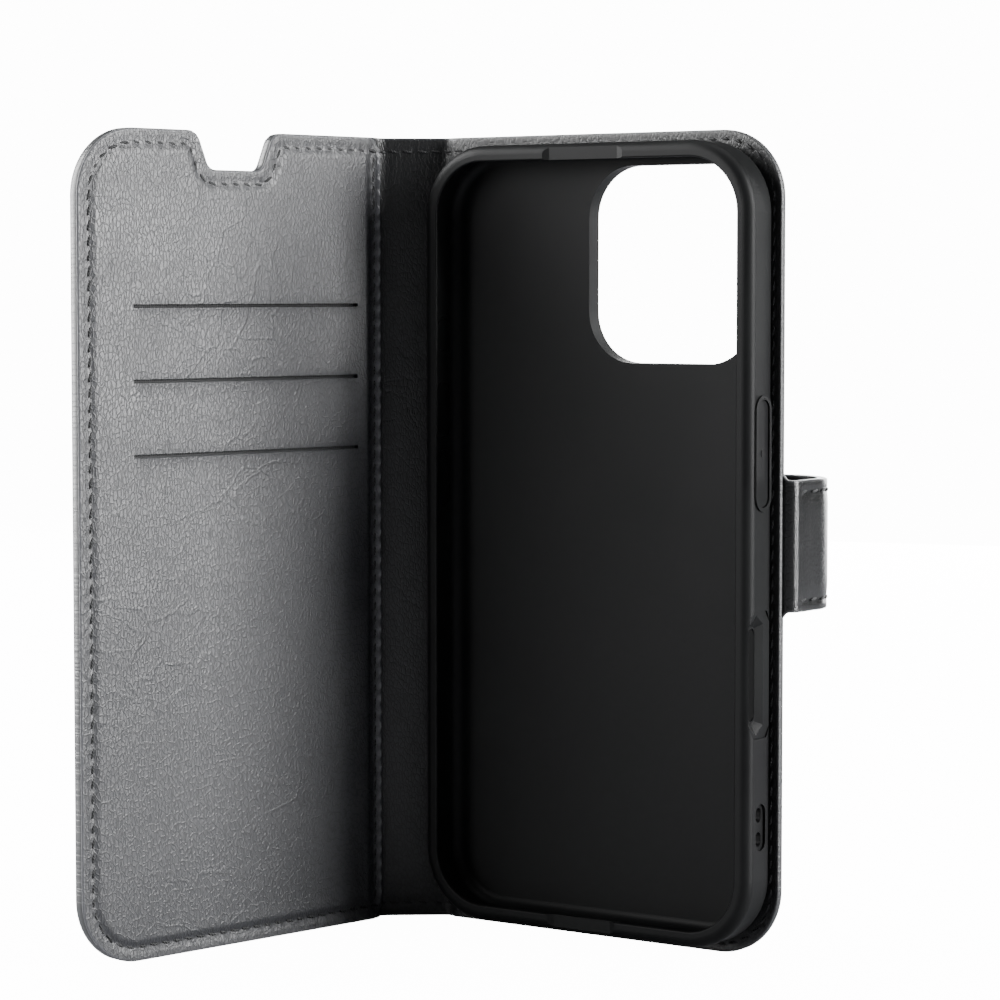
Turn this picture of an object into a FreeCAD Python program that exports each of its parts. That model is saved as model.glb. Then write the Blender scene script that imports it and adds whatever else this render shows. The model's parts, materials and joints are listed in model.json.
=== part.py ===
import FreeCAD, Part
import math
import os

# Book-style phone wallet case, standing open on its bottom edges.  Millimetres.
# +X runs to the right of someone facing the phone, +Y away from them and +Z up.
# The finished model's origin is the bottom centre of its bounding box.

# The phone that the tray holds (6.3-inch class) and the bank card that the slits hold
phone_width = 71.5
phone_height = 149.6
phone_depth = 8.25
phone_corner = 12.0
phone_edge = 2.0
card_width = 53.98

# Moulded tray
tray_wall = 1.7
tray_floor = 0.8
lip_height = 0.45
lip_overhang = 1.5
tray_back_round = 2.8
lip_outer_round = 2.0
lip_inner_round = 0.35
lip_relief_depth = 0.4
lip_relief_top_width = 15.5
lip_relief_bottom_width = 13.0
lip_relief_slope = 1.4

# Openings and button covers in the tray's walls.  Drops are measured from the tray's top.
power_drop = 58.7
power_length = 20.0
button_width = 3.8
button_gap = 0.15
button_face = 0.1
button_rim_width = 0.75
button_rim_stand = 0.4
touch_dot_radius = 0.7
touch_dot_height = 0.12
action_drop = 37.0
action_length = 6.4
volume_up_drop = 52.0
volume_down_drop = 65.5
volume_length = 10.8
side_key_drop = 100.3
side_key_length = 17.6
side_key_width = 2.5
side_key_bevel = 1.4
side_key_point = 2.0
side_key_lift = 1.5
side_key_recess_length = 24.0
side_key_recess_depth = 0.3
side_key_recess_corner = 3.0
side_key_floor = 0.35
side_key_floor_point = 0.4
lanyard_rise = 23.8
lanyard_recess_length = 8.9
lanyard_recess_width = 3.6
lanyard_recess_depth = 0.5
lanyard_hole_length = 2.8
lanyard_hole_width = 1.9
lanyard_hole_spacing = 4.6
charge_port_length = 12.6
charge_port_width = 5.6
speaker_slot_length = 9.0
speaker_slot_width = 2.2
speaker_slot_offset = 16.5

# Camera window, seen from the front at the top corner beside the power button
camera_window_width = 37.0
camera_window_height = 38.0
camera_window_corner = 10.0
camera_window_edge_gap = 2.6
camera_rim_wall = 1.1
camera_rim_stand = 0.6
camera_cutout_gap = 0.3

# Plies of the covers, from the outside in
leather = 0.9
foam = 0.3
board = 0.5
back_board = 0.6
lining = 0.3
bill_lining = 0.2
pocket_ply = 0.1
card_panel = 0.6
turned_edge_width = 4.2
turned_edge_gap = 0.2
adhesive = 0.2
adhesive_inset = 5.0

# Outlines of the covers
cover_end_margin = 2.1
cover_free_margin = 1.0
cover_corner = 13.0
front_edge_setback = 0.6
notch_bottom_width = 13.0
notch_top_width = 19.0
notch_depth = 7.4
notch_shoulder_round = 3.0
notch_floor_round = 2.2

# Folds.  A ply stops short of the fold line so that the fold can close.
fold_clearance = 0.3
spine_to_tray_gap = 0.35
closed_gap = 0.3
panel_start = 1.8
spine_open_angle = 37.0
front_open_angle = 78.6

# Card slits and the pockets behind them
slit_count = 3
slit_first_drop = 33.3
slit_pitch = 14.1
slit_opening = 0.7
slit_side_play = 1.0
pocket_side_margin = 1.5
pocket_depth = 46.0
pocket_corner = 0.8
hem_width = 4.8
hem_gap = 0.2

# Thread
thread_width = 0.55
thread_stand = 0.15
stitch_inset = 2.7
back_stitch_inset = 1.7
hem_stitch_inset = 1.6

# Closing strap
strap_width = 25.0
strap_tip_length = 38.0
strap_tip_corner = 8.0
strap_side_filler = 0.4
strap_tip_core = 1.2
strap_lining = 0.6
strap_root_fillet = 3.0
strap_root_gap = 0.4
strap_stitch_inset = 2.2
strap_edging_width = 3.0
magnet_radius = 5.0
magnet_thickness = 1.0
magnet_gap = 0.1
magnet_cover = 0.1
magnet_spacing = 13.0
magnet_end_distance = 9.0
plate_length = 26.0
plate_height = 16.0
plate_corner = 2.0
plate_gap = 0.2

# Share of a pill's half width that its end radius takes, so that a short straight side is left
pill_end = 0.999
# Largest share of the phone's depth that the round of its edge takes
edge_share = 0.4
# How far a cutter runs past the face that it cuts and past a whole cover, and how closely faces match
cut_reach = 1.0
cover_cut_reach = 10.0
match = 0.01

# Worked out from the sizes above.  y = 0 is the tray's front rim until the model is moved to its origin.
tray_width = phone_width + 2 * tray_wall
tray_height = phone_height + 2 * tray_wall
tray_depth = lip_height + phone_depth + tray_floor
tray_corner = phone_corner + tray_wall
tray_left = -tray_width / 2
tray_right = tray_width / 2
tray_bottom = cover_end_margin
tray_top = tray_bottom + tray_height
cover_height = tray_height + 2 * cover_end_margin
mid_height = cover_height / 2

skin = leather / 2
fold_stop = skin + fold_clearance
back_inner = skin + back_board + lining
back_plane = tray_depth + adhesive + back_inner
spine_x = tray_left - button_rim_stand - spine_to_tray_gap - lining - skin
# The covers are as wide as the tray or the card pockets need, whichever is more
slit_length = card_width + 2 * slit_side_play
pocket_width = slit_length + 2 * pocket_side_margin
turned_edge = turned_edge_width + turned_edge_gap
hem_end = panel_start + hem_width
slit_centre = hem_end + hem_gap + pocket_width / 2
pockets_end = slit_centre + pocket_width / 2 + turned_edge
back_right = max(tray_right + cover_free_margin, spine_x + pockets_end + front_edge_setback)
front_rim = skin + foam + board + bill_lining + slit_count * pocket_ply
front_inner = front_rim + card_panel
spine_length = back_plane + closed_gap + thread_stand + front_inner
front_length = back_right - front_edge_setback - spine_x

strap_side_inner = skin + strap_side_filler + strap_lining
strap_tip_inner = skin + strap_tip_core + strap_lining
strap_mitre = strap_tip_inner + thread_stand + fold_clearance
strap_x = back_right + strap_root_gap + thread_stand + strap_side_inner
closed_front_y = back_plane - spine_length - skin - thread_stand
strap_side_length = back_plane - closed_front_y + closed_gap + thread_stand + strap_tip_inner

spine_fold = FreeCAD.Vector(spine_x, back_plane, 0)
spine_heading = 180.0 + spine_open_angle
front_heading = 180.0 + front_open_angle


def heading_vector(degrees, length):
    angle = math.radians(degrees)
    return FreeCAD.Vector(length * math.cos(angle), length * math.sin(angle), 0)


front_fold = spine_fold + heading_vector(spine_heading, spine_length)
strap_root = FreeCAD.Vector(strap_x, back_plane, 0)
strap_bend = strap_root + FreeCAD.Vector(0, strap_side_length, 0)


# A closed wire in the plane at the given y.  Each corner is (x, z, radius).
def rounded_wire(corners, y):
    edges = []
    starts = []
    ends = []
    middles = []
    count = len(corners)
    for index in range(count):
        x, z, radius = corners[index]
        corner = FreeCAD.Vector(x, y, z)
        before = FreeCAD.Vector(corners[index - 1][0], y, corners[index - 1][1]) - corner
        after = FreeCAD.Vector(corners[(index + 1) % count][0], y, corners[(index + 1) % count][1]) - corner
        before.normalize()
        after.normalize()
        half = before.getAngle(after) / 2
        reach = radius / math.tan(half)
        bisector = before + after
        bisector.normalize()
        starts.append(corner + before * reach)
        ends.append(corner + after * reach)
        middles.append(corner + bisector * (radius / math.sin(half) - radius))
    for index in range(count):
        if corners[index][2] > 0:
            edges.append(Part.Arc(starts[index], middles[index], ends[index]).toShape())
        next_start = starts[(index + 1) % count]
        if ends[index].distanceToPoint(next_start) > 1e-6:
            edges.append(Part.LineSegment(ends[index], next_start).toShape())
    return Part.Wire(Part.__sortEdges__(edges))


# A flat plate between two distances y from the plate's own plane
def plate(corners, low, high):
    low, high = min(low, high), max(low, high)
    return Part.Face(rounded_wire(corners, low)).extrude(FreeCAD.Vector(0, high - low, 0))


# The same plate with its outline moved in by inset
def inset_plate(corners, inset, low, high):
    low, high = min(low, high), max(low, high)
    wire = rounded_wire(corners, low).makeOffset2D(-inset)
    return Part.Face(wire).extrude(FreeCAD.Vector(0, high - low, 0))


def rectangle(x_low, x_high, z_low, z_high, radius=0.0):
    return [(x_low, z_low, radius), (x_high, z_low, radius), (x_high, z_high, radius), (x_low, z_high, radius)]


def centred(x, z, width, height, radius=0.0):
    return rectangle(x - width / 2, x + width / 2, z - height / 2, z + height / 2, radius)


def box(x_low, x_high, y_low, y_high, z_low, z_high):
    size = (x_high - x_low, y_high - y_low, z_high - z_low)
    return Part.makeBox(size[0], size[1], size[2], FreeCAD.Vector(x_low, y_low, z_low))


# Turns a body's own frame, whose +x runs away from its fold, into the case's frame
def placed(shape, heading, fold):
    moved = shape.copy()
    moved.rotate(FreeCAD.Vector(0, 0, 0), FreeCAD.Vector(0, 0, 1), heading)
    moved.translate(fold)
    return moved


def group(shapes):
    return Part.makeCompound(shapes)


# Outline of the front cover in its own frame: fold at x = 0, free edge at front_length
def front_outline(start):
    notch_x = -spine_x
    bottom_half = notch_bottom_width / 2
    top_half = notch_top_width / 2
    floor = cover_height - notch_depth
    return [
        (start, 0, 0),
        (front_length, 0, cover_corner),
        (front_length, cover_height, cover_corner),
        (notch_x + top_half, cover_height, notch_shoulder_round),
        (notch_x + bottom_half, floor, notch_floor_round),
        (notch_x - bottom_half, floor, notch_floor_round),
        (notch_x - top_half, cover_height, notch_shoulder_round),
        (start, cover_height, 0),
    ]


# Outline of the back cover in the case's frame, without the strap's root
def back_outline(start):
    return [
        (start, 0, 0),
        (back_right, 0, cover_corner),
        (back_right, cover_height, cover_corner),
        (start, cover_height, 0),
    ]


# Thread lying in a line at a given distance inside an outline, on one face of the plies
def thread_ring(corners, inset, low, high):
    outer = inset_plate(corners, inset - thread_width / 2, low, high)
    return outer.cut(inset_plate(corners, inset + thread_width / 2, low - cut_reach, high + cut_reach))


def camera_window(grow, low, high):
    x = phone_width / 2 - camera_window_edge_gap - camera_window_width / 2
    z = tray_top - tray_wall - camera_window_edge_gap - camera_window_height / 2
    width = camera_window_width + 2 * grow
    height = camera_window_height + 2 * grow
    return plate(centred(x, z, width, height, camera_window_corner + grow), low, high)


# A pill-shaped bar through a side wall, its length along Z, from x_low to x_high
def pill(x_low, x_high, y, z, length, width):
    outline = rounded_wire(centred(-y, z, width, length, width / 2 * pill_end), 0)
    bar = Part.Face(outline).extrude(FreeCAD.Vector(0, x_high - x_low, 0))
    bar.rotate(FreeCAD.Vector(0, 0, 0), FreeCAD.Vector(0, 0, 1), -90)
    bar.translate(FreeCAD.Vector(x_low, 0, 0))
    return bar


def edges_in_plane(shape, y):
    found = []
    for edge in shape.Edges:
        bounds = edge.BoundBox
        if abs(bounds.YMin - y) < 1e-4 and abs(bounds.YMax - y) < 1e-4:
            found.append(edge)
    return found


# Middle of the phone's edge, where its buttons and ports lie
port_line = lip_height + phone_depth / 2


# Name, outer face, drop and length of each button cover
def button_places():
    return [
        ("power_button_cover", tray_right, power_drop, power_length),
        ("action_button_cover", tray_left, action_drop, action_length),
        ("volume_up_cover", tray_left, volume_up_drop, volume_length),
        ("volume_down_cover", tray_left, volume_down_drop, volume_length),
    ]


# Two distances outwards from a side wall's outer face, as x limits from low to high
def wall_span(wall, inner, outer):
    side = math.copysign(1, wall)
    return sorted((wall + side * inner, wall + side * outer))


def button_covers():
    covers = {}
    for name, wall, drop, length in button_places():
        low, high = wall_span(wall, -tray_wall, button_face)
        covers[name] = pill(low, high, port_line, tray_top - drop, length, button_width)
    dot_place = FreeCAD.Vector(tray_right + button_face, port_line, tray_top - power_drop)
    dot = Part.makeCylinder(touch_dot_radius, touch_dot_height, dot_place, FreeCAD.Vector(1, 0, 0))
    covers["power_button_cover"] = covers["power_button_cover"].fuse(dot)
    return covers


# The raised rim around each button cover
def button_rims():
    grow = 2 * (button_gap + button_rim_width)
    rims = []
    for name, wall, drop, length in button_places():
        low, high = wall_span(wall, -tray_wall / 2, button_rim_stand)
        rims.append(pill(low, high, port_line, tray_top - drop, length + grow, button_width + grow))
    return rims


def button_windows():
    windows = []
    for name, wall, drop, length in button_places():
        low, high = wall_span(wall, -tray_wall - cut_reach, button_rim_stand + cut_reach)
        gap = 2 * button_gap
        windows.append(pill(low, high, port_line, tray_top - drop, length + gap, button_width + gap))
    return windows


# A six-sided outline with pointed ends, its length along Z
def boat(x, y, z, length, width, point):
    half_y = width / 2
    half_z = length / 2
    corners = [(-half_y, -half_z), (0, -half_z - point), (half_y, -half_z)]
    corners += [(half_y, half_z), (0, half_z + point), (-half_y, half_z)]
    loop = [FreeCAD.Vector(x, y + dy, z + dz) for dy, dz in corners]
    return Part.makePolygon(loop + [loop[0]])


# The bevelled opening over the phone's touch key, in a shallow recess of its own
def side_key_opening():
    y = port_line - side_key_lift
    z = tray_top - side_key_drop
    inside = tray_right - tray_wall
    bevel_floor = inside + side_key_floor
    outside = tray_right + cut_reach
    slope = side_key_bevel * (outside - bevel_floor) / (tray_right - side_key_recess_depth - bevel_floor)
    wires = [boat(bevel_floor, y, z, side_key_length, side_key_width, side_key_floor_point)]
    point = side_key_point + slope / 2
    wires.append(boat(outside, y, z, side_key_length + slope, side_key_width + 2 * slope, point))
    bevel = Part.makeLoft(wires, True, True)
    through = pill(inside - cut_reach, bevel_floor + side_key_floor, y, z, side_key_length, side_key_width)
    half = side_key_recess_length / 2
    corner = side_key_recess_corner
    front = -cut_reach
    back = tray_depth - cut_reach
    recess_wire = [(front, z - half + corner), (front + corner, z - half), (back + cut_reach - corner, z - half)]
    recess_wire += [(back, z - half + corner), (back, z + half - corner)]
    recess_wire += [(back + cut_reach - corner, z + half), (front + corner, z + half), (front, z + half - corner)]
    loop = [FreeCAD.Vector(tray_right - side_key_recess_depth, py, pz) for py, pz in recess_wire]
    recess = Part.Face(Part.makePolygon(loop + [loop[0]])).extrude(FreeCAD.Vector(2 * cut_reach, 0, 0))
    return [recess, bevel, through]


def lanyard_cuts():
    z = tray_bottom + lanyard_rise
    floor = tray_right - lanyard_recess_depth
    cuts = [pill(floor, tray_right + cut_reach, port_line, z, lanyard_recess_length, lanyard_recess_width)]
    for side in (-1, 1):
        hole_z = z + side * lanyard_hole_spacing / 2
        inside = tray_right - tray_wall - cut_reach
        cuts.append(pill(inside, tray_right, port_line, hole_z, lanyard_hole_length, lanyard_hole_width))
    return cuts


def bottom_cuts():
    cuts = []
    ports = [(0.0, charge_port_length, charge_port_width)]
    for side in (-1, 1):
        ports.append((side * speaker_slot_offset, speaker_slot_length, speaker_slot_width))
    for x, length, width in ports:
        face = rounded_wire(centred(x, port_line, length, width, width / 2 * pill_end), 0)
        cut = Part.Face(face).extrude(FreeCAD.Vector(0, tray_wall + 2 * cut_reach, 0))
        cut.rotate(FreeCAD.Vector(0, 0, 0), FreeCAD.Vector(1, 0, 0), 90)
        cut = cut.mirror(FreeCAD.Vector(0, 0, 0), FreeCAD.Vector(0, 1, 0))
        cut.translate(FreeCAD.Vector(0, 0, tray_bottom - cut_reach))
        cuts.append(cut)
    return cuts


# Shallow reliefs in the lip's front, beside the earpiece and the charging port
def lip_reliefs():
    cuts = []
    for z, width in ((tray_top, lip_relief_top_width), (tray_bottom, lip_relief_bottom_width)):
        flat = width / 2
        slope = flat + lip_relief_slope
        wires = []
        outline = [(-slope, -match), (-flat, lip_relief_depth), (flat, lip_relief_depth), (slope, -match)]
        reach = tray_wall + lip_overhang
        for edge in (z - reach - cut_reach, z + reach + cut_reach):
            loop = [FreeCAD.Vector(x, y, edge) for x, y in outline]
            wires.append(Part.makePolygon(loop + [loop[0]]))
        cuts.append(Part.makeLoft(wires, True, True))
    return cuts


def tray_shell():
    outer = plate(rectangle(tray_left, tray_right, tray_bottom, tray_top, tray_corner), 0, tray_depth)
    outer = outer.makeFillet(tray_back_round, edges_in_plane(outer, tray_depth))
    outer = outer.makeFillet(lip_outer_round, edges_in_plane(outer, 0))
    inner_left = tray_left + tray_wall
    inner_right = tray_right - tray_wall
    inner_low = tray_bottom + tray_wall
    inner_high = tray_top - tray_wall
    pocket = rectangle(inner_left, inner_right, inner_low, inner_high, phone_corner)
    cavity = plate(pocket, lip_height, lip_height + phone_depth)
    rounds = edges_in_plane(cavity, lip_height) + edges_in_plane(cavity, lip_height + phone_depth)
    cavity = cavity.makeFillet(min(phone_edge, phone_depth * edge_share), rounds)
    mouth = inset_plate(pocket, lip_overhang, -cut_reach, tray_depth / 2)
    shell = outer.cut(cavity).cut(mouth)
    shell = shell.makeFillet(lip_inner_round, mouth_edges(shell))
    rim_end = back_plane + skin + camera_rim_stand
    shell = shell.fuse([camera_window(camera_rim_wall, tray_depth - tray_floor / 2, rim_end)] + button_rims())
    cutters = [camera_window(0, lip_height + phone_depth / 2, rim_end + cut_reach)]
    cutters += button_windows() + side_key_opening() + lanyard_cuts() + bottom_cuts() + lip_reliefs()
    for cutter in cutters:
        shell = shell.cut(cutter)
    return shell


# Edges of the lip's mouth on its front face
def mouth_edges(shell):
    limit = tray_right - tray_wall - lip_overhang
    found = []
    for edge in edges_in_plane(shell, 0):
        bounds = edge.BoundBox
        if max(abs(bounds.XMin), abs(bounds.XMax)) <= limit + match:
            if bounds.ZMin >= tray_bottom + tray_wall + lip_overhang - match:
                if bounds.ZMax <= tray_top - tray_wall - lip_overhang + match:
                    found.append(edge)
    return found


# A cutter that opens a ring of thread or turned edge along the fold, between the ring's two ends
def fold_mouth(outline, reach, end_margin):
    start = outline[0][0]
    low = min(corner[1] for corner in outline) + end_margin
    high = max(corner[1] for corner in outline) - end_margin
    return box(start - cut_reach, start + reach + match, -cover_cut_reach, cover_cut_reach, low, high)


# Outer leather of a cover: a plate with its edges turned in on the three free sides
def leather_skin(outline, outline_from_fold, rim, side):
    sheet = plate(outline, side * -skin, side * skin)
    edge = plate(outline_from_fold, side * skin, side * rim)
    inside = inset_plate(outline_from_fold, turned_edge_width, side * (skin - cut_reach), side * (rim + cut_reach))
    edge = edge.cut(inside)
    edge = edge.cut(fold_mouth(outline_from_fold, turned_edge_width, turned_edge_width))
    return sheet.fuse(edge).removeSplitter()


def back_cover():
    shift = FreeCAD.Vector(0, back_plane, 0)
    start = spine_x + fold_stop
    inner_start = spine_x + skin + lining + fold_clearance
    window_gap = camera_rim_wall + camera_cutout_gap
    window = camera_window(window_gap, tray_depth - cut_reach, back_plane + skin + cut_reach)
    root_low = mid_height - strap_width / 2
    tab = rectangle(back_right - cut_reach, strap_x - fold_stop, root_low, root_low + strap_width)
    parts = {}
    sheet = leather_skin(back_outline(start), back_outline(inner_start), skin + back_board, -1)
    sheet = sheet.fuse(plate(tab, -skin, skin))
    for side in (-1, 1):
        sheet = sheet.fuse(root_fillet(side))
    parts["back_leather"] = sheet.removeSplitter()
    parts["back_board"] = inset_plate(back_outline(inner_start), turned_edge, -skin, -skin - back_board)
    parts["back_lining"] = plate(back_outline(inner_start), -skin - back_board, -back_inner)
    stitches = []
    for face, side in ((skin, 1), (-back_inner, -1)):
        outer = face + side * thread_stand
        ring = thread_ring(back_outline(start), back_stitch_inset, min(face, outer), max(face, outer))
        margin = back_stitch_inset + thread_width
        stitches.append(ring.cut(fold_mouth(back_outline(start), margin, margin)))
    parts["back_stitching"] = group(stitches)
    for name in parts:
        parts[name].translate(shift)
    for name in ("back_leather", "back_board", "back_lining"):
        parts[name] = parts[name].cut(window)
    glue = inset_plate(rectangle(tray_left, tray_right, tray_bottom, tray_top, tray_corner), adhesive_inset,
                       tray_depth, tray_depth + adhesive)
    parts["tray_adhesive"] = glue.cut(window)
    return parts


# The small web of leather in the corner between the back cover's edge and the strap's root
def root_fillet(side):
    radius = min(strap_root_fillet, strap_x - fold_stop - back_right)
    z = mid_height + side * strap_width / 2
    low, high = sorted((z, z + side * radius))
    corner = box(back_right - radius / 4, back_right + radius, -skin, skin, low, high)
    centre = FreeCAD.Vector(back_right + radius, -skin - cut_reach, z + side * radius)
    return corner.cut(Part.makeCylinder(radius, leather + 2 * cut_reach, centre, FreeCAD.Vector(0, 1, 0)))


def spine_panel():
    low = fold_stop
    high = spine_length - fold_stop
    outline = rectangle(low, high, 0, cover_height)
    inner_low = back_inner + fold_clearance
    parts = {"spine_leather": plate(outline, -skin, skin)}
    parts["spine_lining"] = plate(rectangle(inner_low, high, 0, cover_height), skin, skin + lining)
    threads = []
    for z in (stitch_inset, cover_height - stitch_inset):
        line = rectangle(low, high, z - thread_width / 2, z + thread_width / 2)
        threads.append(plate(line, -skin - thread_stand, -skin))
        inner_line = rectangle(inner_low, high, z - thread_width / 2, z + thread_width / 2)
        threads.append(plate(inner_line, skin + lining, skin + lining + thread_stand))
    parts["spine_stitching"] = group(threads)
    return {name: placed(shape, spine_heading, spine_fold) for name, shape in parts.items()}


def slit_heights():
    return [cover_height - slit_first_drop - index * slit_pitch for index in range(slit_count)]


def front_cover():
    parts = {}
    parts["front_leather"] = leather_skin(front_outline(fold_stop), front_outline(panel_start), front_rim, 1)
    foam_top = skin + foam
    board_top = foam_top + board
    lining_top = board_top + bill_lining
    parts["front_foam"] = inset_plate(front_outline(panel_start), turned_edge, skin, foam_top)
    stiffener = inset_plate(front_outline(panel_start), turned_edge, foam_top, board_top)
    plate_x = strap_x - strap_mitre - magnet_centre() - spine_x
    recess = centred(plate_x, mid_height, plate_length + 2 * plate_gap, plate_height + 2 * plate_gap, plate_corner)
    parts["front_board"] = stiffener.cut(plate(recess, foam_top - cut_reach, board_top + cut_reach))
    steel = centred(plate_x, mid_height, plate_length, plate_height, plate_corner)
    parts["closure_plate"] = plate(steel, foam_top, board_top)
    parts["bill_pocket_lining"] = inset_plate(front_outline(panel_start), turned_edge, board_top, lining_top)
    panel = plate(front_outline(panel_start), front_rim, front_inner)
    for height in slit_heights():
        slit = centred(slit_centre, height, slit_length, slit_opening, slit_opening / 2 * pill_end)
        panel = panel.cut(plate(slit, front_rim - cut_reach, front_inner + cut_reach))
    parts["card_panel"] = panel
    for index, height in enumerate(slit_heights()):
        low = lining_top + index * pocket_ply
        strip = centred(slit_centre, height - (pocket_depth + slit_opening) / 2, pocket_width,
                        pocket_depth - slit_opening, pocket_corner)
        parts["card_pocket_%d" % (index + 1)] = plate(strip, low, low + pocket_ply)
    hem = rectangle(panel_start, hem_end, turned_edge, cover_height - turned_edge)
    parts["panel_hem"] = plate(hem, lining_top, front_rim)
    x = panel_start + hem_stitch_inset
    hem_line = centred(x, mid_height, thread_width, cover_height - 2 * (stitch_inset + thread_width))
    parts["hem_stitching"] = plate(hem_line, front_inner, front_inner + thread_stand)
    threads = []
    for corners, low, high in ((front_outline(fold_stop), -skin - thread_stand, -skin),
                               (front_outline(panel_start), front_inner, front_inner + thread_stand)):
        ring = thread_ring(corners, stitch_inset, low, high)
        threads.append(ring.cut(fold_mouth(corners, stitch_inset + thread_width, stitch_inset + thread_width)))
    parts["front_stitching"] = group(threads)
    return {name: placed(shape, front_heading, front_fold) for name, shape in parts.items()}


# Distance from the start of the strap tip's core to the middle of its two magnets
def magnet_centre():
    return strap_tip_length - strap_mitre - magnet_end_distance - magnet_spacing / 2


# In the strap's own frames the outer leather faces +y and the lining faces -y
def strap_side():
    low = mid_height - strap_width / 2
    high = mid_height + strap_width / 2
    end = strap_side_length - strap_mitre
    filler_top = skin + strap_side_filler
    inside = rectangle(fold_stop, end, low + strap_edging_width, high - strap_edging_width)
    outer_end = strap_side_length - fold_stop
    parts = {"strap_side_leather": plate(rectangle(fold_stop, outer_end, low, high), -skin, skin)}
    parts["strap_side_filler"] = plate(inside, -skin, -filler_top)
    rim = plate(rectangle(fold_stop, end, low, high), -skin, -filler_top)
    rim = rim.cut(plate(inside, -skin, -filler_top))
    parts["strap_side_edging"] = group(rim.Solids)
    parts["strap_side_lining"] = plate(rectangle(fold_stop, end, low, high), -filler_top, -strap_side_inner)
    threads = []
    for z in (low + strap_stitch_inset, high - strap_stitch_inset):
        outer_line = rectangle(fold_stop, outer_end, z - thread_width / 2, z + thread_width / 2)
        threads.append(plate(outer_line, skin, skin + thread_stand))
        inner_line = rectangle(fold_stop, end, z - thread_width / 2, z + thread_width / 2)
        threads.append(plate(inner_line, -strap_side_inner, -strap_side_inner - thread_stand))
    parts["strap_side_stitching"] = group(threads)
    return {name: placed(shape, 90.0, strap_root) for name, shape in parts.items()}


def strap_tip_outline(start):
    low = mid_height - strap_width / 2
    high = mid_height + strap_width / 2
    corner = strap_tip_corner
    return [(start, low, 0), (strap_tip_length, low, corner), (strap_tip_length, high, corner), (start, high, 0)]


def strap_tip():
    core_top = skin + strap_tip_core
    parts = {"strap_tip_leather": plate(strap_tip_outline(fold_stop), -skin, skin)}
    core = plate(strap_tip_outline(strap_mitre), -skin, -core_top)
    magnets = []
    for side in (-0.5, 0.5):
        x = strap_mitre + magnet_centre() + side * magnet_spacing
        seat = FreeCAD.Vector(x, -core_top + magnet_cover, mid_height)
        hole = Part.makeCylinder(magnet_radius + magnet_gap, magnet_thickness, seat, FreeCAD.Vector(0, 1, 0))
        core = core.cut(hole)
        magnets.append(Part.makeCylinder(magnet_radius, magnet_thickness, seat, FreeCAD.Vector(0, 1, 0)))
    parts["strap_tip_core"] = core
    parts["strap_magnets"] = group(magnets)
    parts["strap_tip_lining"] = plate(strap_tip_outline(strap_mitre), -core_top, -strap_tip_inner)
    threads = []
    for start, low, high in ((fold_stop, skin, skin + thread_stand),
                             (strap_mitre, -strap_tip_inner - thread_stand, -strap_tip_inner)):
        outline = strap_tip_outline(start)
        margin = strap_stitch_inset + thread_width
        ring = thread_ring(outline, strap_stitch_inset, low, high)
        threads.append(ring.cut(fold_mouth(outline, margin, margin)))
    parts["strap_tip_stitching"] = group(threads)
    return {name: placed(shape, 180.0, strap_bend) for name, shape in parts.items()}


os.makedirs("parts", exist_ok=True)
nodes = {"tray_shell": tray_shell()}
nodes.update(button_covers())
nodes.update(back_cover())
nodes.update(spine_panel())
nodes.update(front_cover())
nodes.update(strap_side())
nodes.update(strap_tip())

# Move everything so that the origin is the bottom centre of the whole case
bounds = group(list(nodes.values())).optimalBoundingBox(True, False)
to_origin = FreeCAD.Vector(-(bounds.XMin + bounds.XMax) / 2, -(bounds.YMin + bounds.YMax) / 2, -bounds.ZMin)
for name, shape in nodes.items():
    shape.translate(to_origin)
    shape.exportStep("parts/%s.step" % name)
    print("%-24s solids %d  volume %9.2f  valid %s" % (name, len(shape.Solids), shape.Volume, shape.isValid()))

# The points that the joints and mounts use, in the finished frame
for label, point in (("spine_fold", spine_fold), ("front_fold", front_fold), ("strap_root", strap_root),
                     ("strap_bend", strap_bend), ("tray_front_centre", FreeCAD.Vector(0, 0, mid_height))):
    print(label, [round(value, 3) for value in (point + to_origin)])
print("overall size", [round(value, 2) for value in (bounds.XLength, bounds.YLength, bounds.ZLength)])
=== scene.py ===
import json
import math

import bmesh
import bpy
import numpy as np
from mathutils import Matrix, Vector


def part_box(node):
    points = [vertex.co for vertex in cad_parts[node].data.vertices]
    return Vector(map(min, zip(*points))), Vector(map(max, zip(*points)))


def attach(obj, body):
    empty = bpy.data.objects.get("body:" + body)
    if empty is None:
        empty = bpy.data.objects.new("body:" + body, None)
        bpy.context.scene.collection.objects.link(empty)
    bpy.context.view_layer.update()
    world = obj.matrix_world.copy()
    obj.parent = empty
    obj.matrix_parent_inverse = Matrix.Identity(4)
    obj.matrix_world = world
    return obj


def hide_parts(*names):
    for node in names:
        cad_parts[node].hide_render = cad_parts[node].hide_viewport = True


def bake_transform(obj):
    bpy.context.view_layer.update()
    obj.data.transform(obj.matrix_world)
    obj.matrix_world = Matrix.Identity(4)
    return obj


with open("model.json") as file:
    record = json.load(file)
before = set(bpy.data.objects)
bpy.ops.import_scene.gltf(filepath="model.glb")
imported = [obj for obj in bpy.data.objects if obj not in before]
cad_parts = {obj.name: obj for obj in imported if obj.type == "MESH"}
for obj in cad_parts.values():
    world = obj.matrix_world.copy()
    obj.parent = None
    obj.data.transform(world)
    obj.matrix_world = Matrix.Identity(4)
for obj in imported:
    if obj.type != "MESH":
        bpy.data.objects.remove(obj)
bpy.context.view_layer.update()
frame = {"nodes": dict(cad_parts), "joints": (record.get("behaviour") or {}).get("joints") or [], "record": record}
nodes = frame["nodes"]
record = frame["record"]
mm = 0.001


def hingePoint(jointName):  # where a fold's hinge line meets the table, in mm
    found = [j for j in frame["joints"] if j["name"] == jointName]
    return np.array(found[0]["pos_m"][:2]) / mm


def boxMm(nodeName):
    low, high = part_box(nodeName)
    return np.array(low) / mm, np.array(high) / mm


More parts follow.
